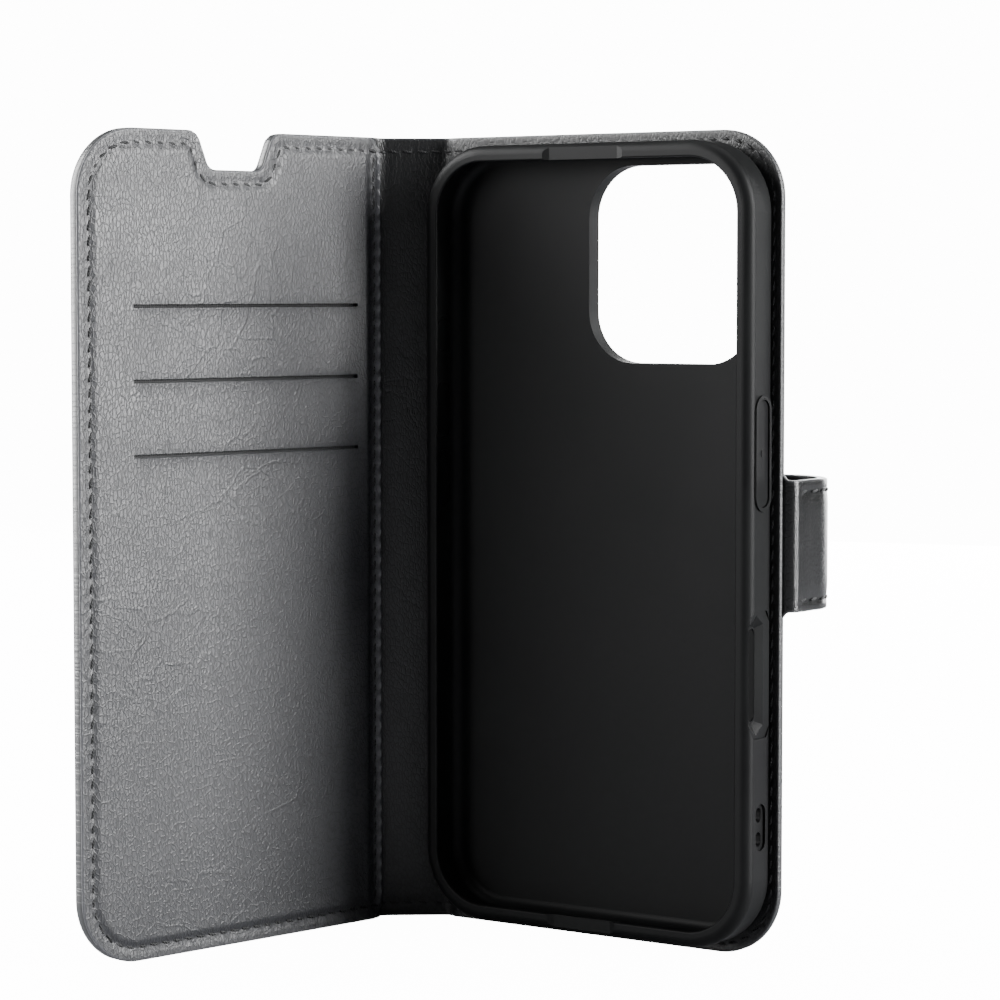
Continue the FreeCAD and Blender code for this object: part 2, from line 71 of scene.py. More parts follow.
trayLow, trayHigh = boxMm("tray_shell")
trayMiddle = Vector(((trayLow[0] + trayHigh[0]) / 2, trayLow[1], (trayLow[2] + trayHigh[2]) / 2)) * mm

# camera

cameraSettings = {
    "offset": (345.34, -529.42, 48.96),  # mm, from the middle of the tray's front
    "yaw": 34.53,
    "pitch": 3.71,
    "lens": 118.47,
}


def makeCamera():
    data = bpy.data.cameras.new("studioCamera")
    data.lens = cameraSettings["lens"]
    data.sensor_width = 36
    camera = bpy.data.objects.new("studioCamera", data)
    camera.location = trayMiddle + Vector(cameraSettings["offset"]) * mm
    tilt = math.radians(90 - cameraSettings["pitch"])
    camera.rotation_euler = (tilt, 0, math.radians(cameraSettings["yaw"]))
    bpy.context.scene.collection.objects.link(camera)
    bpy.context.scene.camera = camera


makeCamera()
print("stage: camera placed")

# materials


def hexColour(text):  # an sRGB hex colour as linear red, green, blue and 1
    parts = [int(text[i:i + 2], 16) / 255 for i in (0, 2, 4)]
    linear = [c / 12.92 if c <= 0.04045 else ((c + 0.055) / 1.055) ** 2.4 for c in parts]
    return (*linear, 1.0)


def addNode(tree, kind, inputs, output=0, **settings):  # inputs are constants, or outputs to link from
    node = tree.nodes.new("ShaderNode" + kind)
    for key, value in settings.items():
        setattr(node, key, value)
    for key, value in inputs.items() if isinstance(inputs, dict) else enumerate(inputs):
        if isinstance(value, bpy.types.NodeSocket):
            tree.links.new(value, node.inputs[key])
        else:
            node.inputs[key].default_value = value
    return node.outputs[output]


def newMaterial(name):
    material = bpy.data.materials.new(name)
    material.use_nodes = True
    return material, material.node_tree, material.node_tree.nodes["Principled BSDF"]


def wireShader(tree, shader, colour, roughness, normal):
    tree.links.new(colour, shader.inputs["Base Color"])
    tree.links.new(roughness, shader.inputs["Roughness"])
    tree.links.new(normal, shader.inputs["Normal"])


# A finish whose tint, relief and gloss each follow a pattern. A look's gloss is the pattern's low and high
# value, and the roughness at each
def dressShader(tree, shader, look, tintShare, height, glossShare):
    colours = {0: tintShare, 6: hexColour(look["dark"]), 7: hexColour(look["light"])}
    tint = addNode(tree, "Mix", colours, 2, data_type="RGBA")
    roughness = addNode(tree, "MapRange", [glossShare, *look["gloss"]])
    relief = {"Height": height, "Strength": look["bump"], "Distance": look["relief"] * mm}
    wireShader(tree, shader, tint, roughness, addNode(tree, "Bump", relief))


# Each look's darker colour is painted shade in the pebbles' valleys, and its pale colour is a painted highlight on
# the cut edges, over their pale edge paint, and on the hem's lip
leatherLooks = {  # pebble and relief are in mm
    "pebbledPanelLeather": {
        "colour": "26272A", "valleyShade": "161719", "edgePaintAndHighlight": "66676A", "roughness": (0.38, 0.50),
        "pebble": 0.95, "relief": 0.054, "crease": 0.7, "specular": 0.62,
    },
    "pebbledOuterLeather": {
        "colour": "0F1010", "valleyShade": "080909", "edgePaintAndHighlight": "3C3D3E", "roughness": (0.26, 0.36),
        "pebble": 0.9, "relief": 0.042, "crease": 0.3, "specular": 0.5,
    },
    "smoothLiningLeather": {
        "colour": "161718", "valleyShade": "0A0B0B", "edgePaintAndHighlight": "3C3D3E", "roughness": (0.34, 0.44),
        "pebble": 0.9, "relief": 0.055, "crease": 0.6, "specular": 0.5,
    },
    "glossyStrapLeather": {
        "colour": "0C0D0D", "valleyShade": "070808", "edgePaintAndHighlight": "4C4D4E", "roughness": (0.20, 0.27),
        "pebble": 0.85, "relief": 0.02, "crease": 0.6, "specular": 0.5,
    },
}
leatherGrain = {  # scales are counts to the metre
    "stretch": (1.4, 0.72, 1),  # pebbles stand taller than they are wide
    "driftScale": 420.0,
    "driftReach": 0.0011,
    "valley": 0.16,  # share of a pebble that its valley takes up
    "valleyHeight": 0.6,
    "poreScale": 3800.0,
    "poreHeight": 0.15,
    "foldScale": 90.0,
    "swirlScale": 60.0,
    "swirlReach": 0.02,
    "creaseScale": 120.0,
    "creaseLine": 0.05,
    "areaScale": 26.0,  # creases gather in areas some 40 mm across
    "areaShare": (0.44, 0.62, 1.0, 0.15),
    # how pale a cut edge and the hem's lip are made: pale edge paint and a painted highlight on the edges, a
    # painted highlight on the lip
    "edgePaintAndHighlightStrength": 0.8,
}


# Split leather with a fine pebble grain: the pebbles break the soft light into small glints, and the
# longer creases wander through them as they do on hide that has been turned and pressed. Painted shade
# darkens the pebbles' valleys, and a painted highlight lightens the cut edges, over their pale edge paint, and the
# hem's lip
def makeLeather(name):
    look, grain = leatherLooks[name], leatherGrain
    material, tree, shader = newMaterial(name)
    place = addNode(tree, "UVMap", {}, uv_map="flatPattern")
    stretched = addNode(tree, "Mapping", {"Vector": place, "Scale": grain["stretch"]})
    wander = {"Vector": stretched, "Scale": grain["driftScale"], "Detail": 2.0}
    drift = addNode(tree, "TexNoise", wander, "Color")
    shift = addNode(tree, "VectorMath", {0: drift, "Scale": grain["driftReach"]}, operation="SCALE")
    moved = addNode(tree, "VectorMath", [stretched, shift], operation="ADD")
    pebbleSize = {"Vector": moved, "Scale": 1000 / look["pebble"]}
    pebbles = addNode(tree, "TexVoronoi", pebbleSize, feature="DISTANCE_TO_EDGE")
    valley = addNode(tree, "MapRange", [pebbles, 0.0, grain["valley"], 0.0, 1.0])
    pores = addNode(tree, "TexNoise", {"Vector": place, "Scale": grain["poreScale"], "Detail": 3.0})
    folds = addNode(tree, "TexNoise", {"Vector": place, "Scale": grain["foldScale"], "Detail": 4.0})
    swirl = addNode(tree, "TexNoise", {"Vector": place, "Scale": grain["swirlScale"]}, "Color")
    bend = addNode(tree, "VectorMath", {0: swirl, "Scale": grain["swirlReach"]}, operation="SCALE")
    creasePlace = addNode(tree, "VectorMath", [place, bend], operation="ADD")
    creaseSize = {"Vector": creasePlace, "Scale": grain["creaseScale"]}
    creases = addNode(tree, "TexVoronoi", creaseSize, feature="DISTANCE_TO_EDGE")
    creaseLine = addNode(tree, "MapRange", [creases, 0.0, grain["creaseLine"], 0.0, 1.0])
    areas = addNode(tree, "TexNoise", {"Vector": place, "Scale": grain["areaScale"], "Detail": 1.0})
    patchy = addNode(tree, "MapRange", [areas, *grain["areaShare"]])
    creased = addNode(tree, "Math", [creaseLine, patchy], operation="MAXIMUM")
    pebbled = addNode(tree, "Math", [valley, grain["valleyHeight"]], operation="MULTIPLY")
    pored = addNode(tree, "Math", [pores, grain["poreHeight"]], operation="MULTIPLY")
    fine = addNode(tree, "Math", [pebbled, pored], operation="ADD")
    coarse = addNode(tree, "Math", [creased, look["crease"]], operation="MULTIPLY")
    height = addNode(tree, "Math", [fine, coarse], operation="ADD")
    bump = addNode(tree, "Bump", {"Height": height, "Strength": 1.0, "Distance": look["relief"] * mm})
    # painted highlight: cut edges, over their pale edge paint, and the hem's lip are mixed towards the pale colour
    rim = addNode(tree, "Attribute", {}, "Fac", attribute_name="edgePaintAndHighlightShare")
    edgePaintAndHighlightMask = addNode(tree, "Math", [rim, grain["edgePaintAndHighlightStrength"]], operation="MULTIPLY")
    # painted shade: the pebbles' valleys are mixed towards the darker colour
    valleyShadeTint = {0: valley, 6: hexColour(look["valleyShade"]), 7: hexColour(look["colour"])}
    tint = addNode(tree, "Mix", valleyShadeTint, 2, data_type="RGBA")
    edgePaintAndHighlight = addNode(tree, "Mix", {0: edgePaintAndHighlightMask, 6: tint, 7: hexColour(look["edgePaintAndHighlight"])}, 2, data_type="RGBA")
    low, high = look["roughness"]
    raised = addNode(tree, "Math", [folds, valley], operation="MULTIPLY")
    roughness = addNode(tree, "MapRange", [raised, 0.2, 0.7, high, low])
    wireShader(tree, shader, edgePaintAndHighlight, roughness, bump)
    shader.inputs["Specular IOR Level"].default_value = look["specular"]
    return material


tpuLooks = {
    "satinMouldedTpu": {
        "dark": "0C0C0D", "light": "131414", "gloss": (0.3, 0.7, 0.45, 0.53), "bump": 0.5, "relief": 0.008,
    },
    "satinButtonTpu": {
        "dark": "0B0B0C", "light": "131414", "gloss": (0.3, 0.7, 0.41, 0.49), "bump": 0.5, "relief": 0.008,
    },
}


# Moulded TPU, satin from a fine spark-eroded mould: the tiny stipple spreads the light into soft bands
# It is drawn 0.2 mm coarse, because a mould's own stipple is too fine to show
def makeTpu(name):
    material, tree, shader = newMaterial(name)
    place = addNode(tree, "TexCoord", {}, "Object")
    stipple = addNode(tree, "TexNoise", {"Vector": place, "Scale": 5200.0, "Detail": 2.0})
    haze = addNode(tree, "TexNoise", {"Vector": place, "Scale": 45.0, "Detail": 3.0})
    cloudy = addNode(tree, "MapRange", [haze, 0.3, 0.7, 0.0, 1.0])
    dressShader(tree, shader, tpuLooks[name], cloudy, stipple, haze)
    shader.inputs["IOR"].default_value = 1.5
    shader.inputs["Specular IOR Level"].default_value = 0.12
    return material


threadLook = {
    "dark": "08090A", "light": "191A1B", "gloss": (0.3, 0.7, 0.58, 0.74), "bump": 0.7, "relief": 0.08,
}


# Bonded polyester thread: a twist of plies that shines a little along its length
def makeThread(name):
    material, tree, shader = newMaterial(name)
    place = addNode(tree, "UVMap", {}, uv_map="flatPattern")
    plies = {"Vector": place, "Scale": 900.0, "Distortion": 1.5}
    twist = addNode(tree, "TexWave", plies, "Fac", bands_direction="DIAGONAL")
    fuzz = addNode(tree, "TexNoise", {"Vector": place, "Scale": 6000.0, "Detail": 2.0})
    height = addNode(tree, "Math", [twist, fuzz], operation="ADD")
    dressShader(tree, shader, threadLook, twist, height, fuzz)
    return material


clothLook = {
    "dark": "0B0B0C", "light": "222324", "gloss": (0.0, 1.0, 0.95, 0.75), "bump": 0.8, "relief": 0.06,
}


# Thin woven pocket cloth: crossed threads, matt and almost black
def makeCloth(name):
    material, tree, shader = newMaterial(name)
    place = addNode(tree, "UVMap", {}, uv_map="flatPattern")
    warp = addNode(tree, "TexWave", {"Vector": place, "Scale": 620.0}, "Fac", bands_direction="X")
    weft = addNode(tree, "TexWave", {"Vector": place, "Scale": 620.0}, "Fac", bands_direction="Y")
    weave = addNode(tree, "Math", [warp, weft], operation="MAXIMUM")
    dressShader(tree, shader, clothLook, weave, weave, weave)
    return material


boardLook = {
    "dark": "8C7F6B", "light": "A89A83", "gloss": (0.3, 0.7, 0.8, 0.92), "bump": 0.5, "relief": 0.1,
}


# Grey pressed board: flecks of fibre on a dull face
def makeBoard(name):
    material, tree, shader = newMaterial(name)
    place = addNode(tree, "TexCoord", {}, "Object")
    flecks = {"Vector": place, "Scale": 1500.0, "Detail": 6.0, "Roughness": 0.7}
    fibre = addNode(tree, "TexNoise", flecks)
    fleck = addNode(tree, "MapRange", [fibre, 0.35, 0.65, 0.0, 1.0])
    dressShader(tree, shader, boardLook, fleck, fibre, fibre)
    return material


foamLook = {
    "dark": "2E2E2E", "light": "4A4A4A", "gloss": (0.0, 0.7, 0.8, 0.95), "bump": 0.7, "relief": 0.1,
}


# Closed-cell foam: small bubbles cut open at the face
def makeFoam(name):
    material, tree, shader = newMaterial(name)
    place = addNode(tree, "UVMap", {}, uv_map="flatPattern")
    cells = addNode(tree, "TexVoronoi", {"Vector": place, "Scale": 2600.0})
    dressShader(tree, shader, foamLook, cells, cells, cells)
    return material


nickelLook = {
    "dark": "B9B5AC", "light": "D2CEC4", "gloss": (0.3, 0.7, 0.22, 0.34), "bump": 0.3, "relief": 0.02,
}


# Nickel-plated steel: fine rolling lines under a bright plate
def makeNickel(name):
    material, tree, shader = newMaterial(name)
    place = addNode(tree, "TexCoord", {}, "Object")
    rolled = addNode(tree, "Mapping", {"Vector": place, "Scale": (60, 60, 4000)})
    lines = addNode(tree, "TexNoise", {"Vector": rolled, "Scale": 1.0, "Detail": 3.0})
    dressShader(tree, shader, nickelLook, lines, lines, lines)
    shader.inputs["Metallic"].default_value = 1.0
    return material


filmLook = {
    "dark": "B8B6AE", "light": "DAD8D0", "gloss": (0.3, 0.7, 0.35, 0.5), "bump": 0.4, "relief": 0.05,
}


# Double-sided adhesive film: slightly cloudy and pale
def makeFilm(name):
    material, tree, shader = newMaterial(name)
    place = addNode(tree, "TexCoord", {}, "Object")
    cloud = addNode(tree, "TexNoise", {"Vector": place, "Scale": 700.0, "Detail": 4.0})
    dressShader(tree, shader, filmLook, cloud, cloud, cloud)
    return material


panelLeather = makeLeather("pebbledPanelLeather")
outerLeather = makeLeather("pebbledOuterLeather")
liningLeather = makeLeather("smoothLiningLeather")
strapLeather = makeLeather("glossyStrapLeather")
satinTpu = makeTpu("satinMouldedTpu")
buttonTpu = makeTpu("satinButtonTpu")
bondedThread = makeThread("bondedBlackThread")
pocketCloth = makeCloth("wovenPocketCloth")
pressedBoard = makeBoard("greyPressedBoard")
closedFoam = makeFoam("closedCellFoam")
nickelSteel = makeNickel("nickelPlatedSteel")
adhesiveFilm = makeFilm("cloudyAdhesiveFilm")
print("stage: materials mixed")

# flat patterns, all in mm


# Points round an outline of (x, z, radius) corners, without the closing run
def roundedPath(corners, spacing=0.5):
    points = []
    count = len(corners)
    for index in range(count):
        corner = Vector(corners[index][:2])
        radius = corners[index][2]
        if radius == 0:
            points.append(corner)
            continue
        before = (Vector(corners[index - 1][:2]) - corner).normalized()
        after = (Vector(corners[(index + 1) % count][:2]) - corner).normalized()
        half = before.angle(after) / 2
        centre = corner + (before + after).normalized() * radius / math.sin(half)
        reach = radius / math.tan(half)
        first = corner + before * reach - centre
        last = corner + after * reach - centre
        turn = math.copysign(math.pi - 2 * half, first.x * last.y - first.y * last.x)
        steps = max(3, round(abs(turn) * radius / spacing))
        for step in range(steps + 1):
            points.append(centre + Matrix.Rotation(turn * step / steps, 2) @ first)
    return np.array([p[:] for p in points])


def nearestOn(points, path):  # distance to the path, length along it, and its nearest point
    start, end = path[:-1], path[1:]
    run = end - start
    runLength = np.maximum(np.linalg.norm(run, axis=1), 1e-9)
    before = np.concatenate([[0], np.cumsum(runLength)[:-1]])
    distance, along, nearest = [], [], []
    for chunk in np.array_split(points, max(1, len(points) // 3000)):
        offset = chunk[:, None, :] - start[None]
        share = np.clip((offset * run).sum(2) / runLength ** 2, 0, 1)
        foot = start[None] + share[:, :, None] * run[None]
        gap = np.linalg.norm(chunk[:, None, :] - foot, axis=2)
        best = gap.argmin(1)
        rows = np.arange(len(chunk))
        distance.append(gap[rows, best])
        along.append(before[best] + share[rows, best] * runLength[best])
        nearest.append(foot[rows, best])
    return np.concatenate(distance), np.concatenate(along), np.concatenate(nearest)


def insideOf(points, path):
    start, end = path, np.roll(path, -1, axis=0)
    inside = np.zeros(len(points), bool)
    for (ax, az), (bx, bz) in zip(start, end):
        crosses = (az > points[:, 1]) != (bz > points[:, 1])
        if bz != az:
            inside ^= crosses & (points[:, 0] < (bx - ax) * (points[:, 1] - az) / (bz - az) + ax)
    return inside


# An outline with windows cut in it. Unless it is closed, the run from its last corner to its first is an
# open side, where the sheet meets another piece and has no cut edge
class Pattern:
    def __init__(self, corners, closed=False, windows=()):
        self.outline = roundedPath(corners)
        self.edge = np.vstack([self.outline, self.outline[:1]]) if closed else self.outline
        self.openSide = None if closed else corners[0][0]
        self.windows = [roundedPath(w) for w in windows]

    def measure(self, points):  # distance in from the cut edge, length along it, and its nearest point
        distance, along, nearest = nearestOn(points, self.edge)
        probe = points.copy()
        if self.openSide is not None:  # points on the open side itself count as inside
            probe[:, 0] += math.copysign(0.01, self.outline[:, 0].mean() - self.openSide)
        distance = np.where(insideOf(probe, self.outline), distance, -distance)
        for window in self.windows:
            ring = np.vstack([window, window[:1]])
            gap, _, foot = nearestOn(points, ring)
            gap = np.where(insideOf(points, window), -gap, gap)
            closer = gap < distance
            distance = np.where(closer, gap, distance)
            nearest = np.where(closer[:, None], foot, nearest)
        return distance, along, nearest


def vertexPoints(bm, verts=None):
    return np.array([v.co[:2] for v in (bm.verts if verts is None else verts)])


edgeRings = (1.5, 1.0, 0.6, 0.3, 0.12, 0.0)  # mm in from the cut edge
lipReach = 0.5  # mm beside a slit
edgePaintAndHighlightRim = 0.45  # mm of a cut edge painted pale: its pale edge paint, and a painted highlight
sharpEdge = math.radians(55)


# A flat bmesh sheet: an even net inside, and rings of faces along its edges
def cutSheet(pattern, step, slits=()):
    low = pattern.outline.min(0)
    high = pattern.outline.max(0)
    size = high - low
    counts = [max(2, round(s / step)) for s in size]
    bm = bmesh.new()
    place = Matrix.Translation(((low[0] + high[0]) / 2, (low[1] + high[1]) / 2, 0))
    place = place @ Matrix.Diagonal((size[0], size[1], 1, 1))
    bmesh.ops.create_grid(bm, x_segments=counts[0], y_segments=counts[1], size=0.5, matrix=place)
    distance, _, _ = pattern.measure(vertexPoints(bm))
    bm.verts.ensure_lookup_table()
    keepFrom = edgeRings[0] - 0.35 * step
    away = [bm.verts[i] for i in np.flatnonzero(distance < keepFrom)]
    bmesh.ops.delete(bm, geom=away, context="VERTS")
    loose = [v for v in bm.verts if not v.link_faces]
    bmesh.ops.delete(bm, geom=loose, context="VERTS")
    for ring in edgeRings:
        rim = [e for e in bm.edges if len(e.link_faces) == 1 and not onOpenSide(e, pattern)]
        if ring != edgeRings[0]:
            grown = bmesh.ops.extrude_edge_only(bm, edges=rim)["geom"]
            verts = [g for g in grown if isinstance(g, bmesh.types.BMVert)]
        else:
            verts = list({v for e in rim for v in e.verts})
        points = vertexPoints(bm, verts)
        gap, _, foot = pattern.measure(points)
        outward = (points - foot) / np.maximum(np.abs(gap), 1e-6)[:, None]
        for vert, base, way in zip(verts, foot, outward):
            vert.co.x, vert.co.y = base + way * ring
    for slit in slits:
        cutSlit(bm, slit)
    return bm


def onOpenSide(edge, pattern):
    return pattern.openSide is not None and all(abs(v.co.x - pattern.openSide) < 1e-4 for v in edge.verts)


# A slit is (low x, high x, low z, high z). Two more lines beside it let its lips rise
def cutSlit(bm, slit):
    lowX, highX, lowZ, highZ = slit
    for z in (lowZ - lipReach, lowZ, highZ, highZ + lipReach):
        cutLine(bm, (0, z, 0), (0, 1, 0))
    for x in (lowX, highX):
        cutLine(bm, (x, 0, 0), (1, 0, 0))
    gone = []
    for face in bm.faces:
        centre = face.calc_center_median()
        if lowX < centre.x < highX and lowZ < centre.y < highZ:
            gone.append(face)
    bmesh.ops.delete(bm, geom=gone, context="FACES")


def cutLine(bm, point, normal):
    everything = bm.verts[:] + bm.edges[:] + bm.faces[:]
    bmesh.ops.bisect_plane(bm, geom=everything, dist=0.02, plane_co=point, plane_no=normal)


def smooth(share):
    share = np.clip(share, 0, 1)
    return share * share * (3 - 2 * share)


def edgeRound(distance, radius):  # how far a face drops beside its cut edge
    inside = np.clip(1 - distance / radius, 0, 1)
    return radius * (1 - np.sqrt(1 - inside ** 2))


class FoldedPath:  # straight runs joined by arcs at the folds, turning left; +h is the left side
    def __init__(self, origin, heading, folds):
        self.origin = np.array(origin, float)
        self.heading = math.radians(heading)
        self.folds = [(place, math.radians(turn), radius) for place, turn, radius in folds]

    def spread(self, s, v, h):
        s = np.asarray(s, float)
        heading = np.full(s.shape, self.heading)
        corner, direction, last = self.origin, self.heading, 0.0
        x = corner[0] + np.cos(direction) * s
        y = corner[1] + np.sin(direction) * s
        for place, turn, radius in self.folds:
            corner = corner + np.array([math.cos(direction), math.sin(direction)]) * (place - last)
            reach = radius * math.tan(turn / 2)
            normal = np.array([-math.sin(direction), math.cos(direction)])
            centre = corner - np.array([math.cos(direction), math.sin(direction)]) * reach + normal * radius
            angle = direction + turn * np.clip((s - place + reach) / (2 * reach), 0, 1)
            bent = s > place - reach
            beyond = s > place + reach
            x = np.where(bent, centre[0] + radius * np.sin(angle), x)
            y = np.where(bent, centre[1] - radius * np.cos(angle), y)
            heading = np.where(bent, angle, heading)
            direction = direction + turn
            x = np.where(beyond, corner[0] + math.cos(direction) * (s - place), x)
            y = np.where(beyond, corner[1] + math.sin(direction) * (s - place), y)
            last = place
        x = x - np.sin(heading) * h
        y = y + np.cos(heading) * h
        return np.stack([x, y, np.asarray(v, float) + 0 * x], 1) * mm


def finishMesh(name, bm, material):
    mesh = bpy.data.meshes.new(name)
    for face in bm.faces:
        face.smooth = True
    for edge in bm.edges:  # a cut wall keeps its own shading, so that it doesn't darken the face beside it
        edge.smooth = edge.calc_face_angle(0) < sharpEdge
    bm.to_mesh(mesh)
    bm.free()
    mesh.materials.append(material)
    piece = bpy.data.objects.new(name, mesh)
    bpy.context.scene.collection.objects.link(piece)
    return piece


# A sheet with thickness, laid along a folded path. upper and lower give the heights of its faces in mm. Its cut
# edges get a painted highlight over their pale edge paint, and the last argument, if given, gives where else a
# painted highlight lightens its upper face
def slab(name, pattern, step, path, upper, lower, material, slits=(), paintedHighlight=None):
    bm = cutSheet(pattern, step, slits)
    sideLayer = bm.verts.layers.int.new("side")
    grown = bmesh.ops.extrude_face_region(bm, geom=bm.faces[:], use_keep_orig=True)["geom"]
    for item in grown:
        if isinstance(item, bmesh.types.BMVert):
            item[sideLayer] = 1
    flat = vertexPoints(bm)
    isUpper = np.array([v[sideLayer] for v in bm.verts], bool)
    distance, along, _ = pattern.measure(flat)
    distance = np.maximum(distance, 0)
    height = np.where(isUpper, upper(flat, distance, along), lower(flat, distance, along))
    placed = path.spread(flat[:, 0], flat[:, 1], height)
    uvLayer = bm.loops.layers.uv.new("flatPattern")
    for face in bm.faces:
        for loop in face.loops:
            loop[uvLayer].uv = loop.vert.co.xy * mm
    for vert, point in zip(bm.verts, placed):
        vert.co = point
    bmesh.ops.recalc_face_normals(bm, faces=bm.faces[:])
    piece = finishMesh(name, bm, material)
    # painted highlight on the cut edges, over their pale edge paint, and wherever the last argument gives it
    share = np.clip(1 - distance / edgePaintAndHighlightRim, 0, 1)
    if paintedHighlight:
        share = np.maximum(share, paintedHighlight(flat) * isUpper)
    rim = piece.data.attributes.new("edgePaintAndHighlightShare", "FLOAT", "POINT")
    rim.data.foreach_set("value", share.astype(np.float32))
    return piece


def level(height):
    return lambda flat, distance, along: np.full(len(flat), float(height))


# stitches


threadSize = {  # mm, and degrees
    "pitch": 2.8,
    "length": 2.15,
    "width": 0.6,
    "height": 0.46,
    "slant": 10.0,
    "lift": 0.08,
}


def stitchRow(points):  # even places and directions along a line of points
    runs = np.linalg.norm(np.diff(points, axis=0), axis=1)
    along = np.concatenate([[0], np.cumsum(runs)])
    count = max(1, round(along[-1] / threadSize["pitch"]))
    middles = (np.arange(count) + 0.5) * along[-1] / count
    place = np.stack([np.interp(middles, along, points[:, i]) for i in (0, 1)], 1)
    ahead = np.stack([np.interp(middles + 0.4, along, points[:, i]) for i in (0, 1)], 1)
    behind = np.stack([np.interp(middles - 0.4, along, points[:, i]) for i in (0, 1)], 1)
    way = ahead - behind
    return place, way / np.maximum(np.linalg.norm(way, axis=1), 1e-9)[:, None]


def insetLine(pattern, inset):  # a line inside the cut edge; inset may change along it
    path = pattern.edge
    runs = np.linalg.norm(np.diff(path, axis=0), axis=1)
    along = np.concatenate([[0], np.cumsum(runs)])
    marks = np.arange(0, along[-1], 0.25)
    points = np.stack([np.interp(marks, along, path[:, i]) for i in (0, 1)], 1)
    way = np.gradient(points, axis=0)
    way /= np.maximum(np.linalg.norm(way, axis=1), 1e-9)[:, None]
    normal = np.stack([-way[:, 1], way[:, 0]], 1)
    depth = inset(points) if callable(inset) else np.full(len(points), float(inset))
    trial = points + normal * 0.2
    if insideOf(trial, pattern.outline).mean() < 0.5:
        normal = -normal
    moved = points + normal * depth[:, None]
    distance, _, _ = nearestOn(moved, path)
    return moved[distance > depth - 0.05]


# One small rounded form for each stitch. outside is +1 when the thread lies on the +h face, and otherwise -1
def sewStitches(name, rows, path, surface, outside):
    bm = bmesh.new()
    slant = math.radians(threadSize["slant"])
    for points in rows:
        place, way = stitchRow(points)
        turned = np.stack([way[:, 0] * math.cos(slant) - way[:, 1] * math.sin(slant),
                           way[:, 0] * math.sin(slant) + way[:, 1] * math.cos(slant)], 1)
        height = surface(place)
        base = path.spread(place[:, 0], place[:, 1], height)
        ahead = place + turned * 0.3
        front = path.spread(ahead[:, 0], ahead[:, 1], height)
        top = path.spread(place[:, 0], place[:, 1], height + outside * 0.3)
        for index in range(len(place)):
            along = Vector(front[index] - base[index]).normalized()
            up = Vector(top[index] - base[index]).normalized()
            across = up.cross(along).normalized()
            up = along.cross(across)
            turn = Matrix((along, across, up)).transposed().to_4x4()
            halves = [threadSize[side] / 2 for side in ("length", "width", "height")]
            size = Matrix.Diagonal((*halves, 1)) @ Matrix.Scale(mm, 4)
            middle = Matrix.Translation(Vector(base[index]) + up * threadSize["lift"] * mm)
            where = middle @ turn @ size @ Matrix.Rotation(math.pi / 2, 4, "Y")
            bmesh.ops.create_uvsphere(bm, u_segments=6, v_segments=5, radius=1, matrix=where)
    uvLayer = bm.loops.layers.uv.new("flatPattern")
    for face in bm.faces:
        for loop in face.loops:
            loop[uvLayer].uv = (loop.vert.co.x + loop.vert.co.y, loop.vert.co.z)
    return finishMesh(name, bm, bondedThread)


# folds of the cover and the strap

coverHeight = boxMm("front_leather")[1][2]
spineFold = hingePoint("spine_fold")
frontFold = hingePoint("front_fold")
strapRoot = hingePoint("strap_root_fold")
strapBend = hingePoint("strap_tip_fold")
spineRun = frontFold - spineFold
spineLength = float(np.linalg.norm(spineRun))
spineTurn = math.degrees(math.atan2(spineRun[1], spineRun[0])) % 360 - 180
slitMount = [m for m in record["mounts"] if m["name"] == "card_slits"][0]
frontHeading = math.degrees(math.atan2(-slitMount["axis"][0], slitMount["axis"][1])) % 360
frontTurn = frontHeading - 180 - spineTurn
frontWay = np.array([math.cos(math.radians(frontHeading)), math.sin(math.radians(frontHeading))])
frontSide = np.array([-frontWay[1], frontWay[0]])

coverFolds = {"spineRadius": 3.5, "frontRadius": 3.5, "blendReach": 2.2}
coverPath = FoldedPath(spineFold, 180, [(0, spineTurn, coverFolds["spineRadius"]),
                                        (spineLength, frontTurn, coverFolds["frontRadius"])])


# Lowest and highest place of a node along the front cover from its fold, then inwards, then upwards
def alongFront(nodeName):
    points = np.array([v.co[:] for v in nodes[nodeName].data.vertices]) / mm
    local = points[:, :2] - frontFold
    run = local @ frontWay
    depth = local @ frontSide
    return run.min(), run.max(), depth.min(), depth.max(), points[:, 2].min(), points[:, 2].max()


frontLength = alongFront("front_leather")[1]


def bendAtSpine(piece, slotName, *replaced):
    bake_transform(piece)
    if replaced:
        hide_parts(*replaced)


def bendAtFront(piece, slotName, *replaced):
    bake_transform(piece)
    if replaced:
        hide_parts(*replaced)


def rideOn(piece, body, slotName, *replaced):
    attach(piece, body)
    if replaced:
        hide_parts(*replaced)


# outlines, measured along the folded path from the spine fold

covers = {
    "corner": 13.0,
    "notchBottom": 13.0,
    "notchTop": 19.0,
    "notchDepth": 7.4,
    "notchShoulder": 3.0,
    "notchFloor": 2.2,
    "notchFromFold": 38.95,
    "panelStart": 1.8,
    "stitchInset": 2.7,
    "backStitchInset": 1.7,
    "turnedEdge": 4.2,
    "skin": 0.45,
    "frontRim": 1.75,
    "backRim": 1.05,
    "liningPly": 0.3,
    "liningDip": 0.14,
}
halfSpine = spineLength / 2
freeEdge = spineLength + frontLength
panelFold = spineLength + covers["panelStart"]


def frontCorners(start, inset=0.0):
    notch = spineLength + covers["notchFromFold"]
    bottomHalf = covers["notchBottom"] / 2 + inset * 0.75
    topHalf = covers["notchTop"] / 2 + inset
    top = coverHeight - inset
    floor = coverHeight - covers["notchDepth"] - inset
    return [
        (start, inset, 0),
        (freeEdge - inset, inset, covers["corner"] - inset),
        (freeEdge - inset, top, covers["corner"] - inset),
        (notch + topHalf, top, covers["notchShoulder"]),
        (notch + bottomHalf, floor, covers["notchFloor"]),
        (notch - bottomHalf, floor, covers["notchFloor"]),
        (notch - topHalf, top, covers["notchShoulder"]),
        (start, top, 0),
    ]


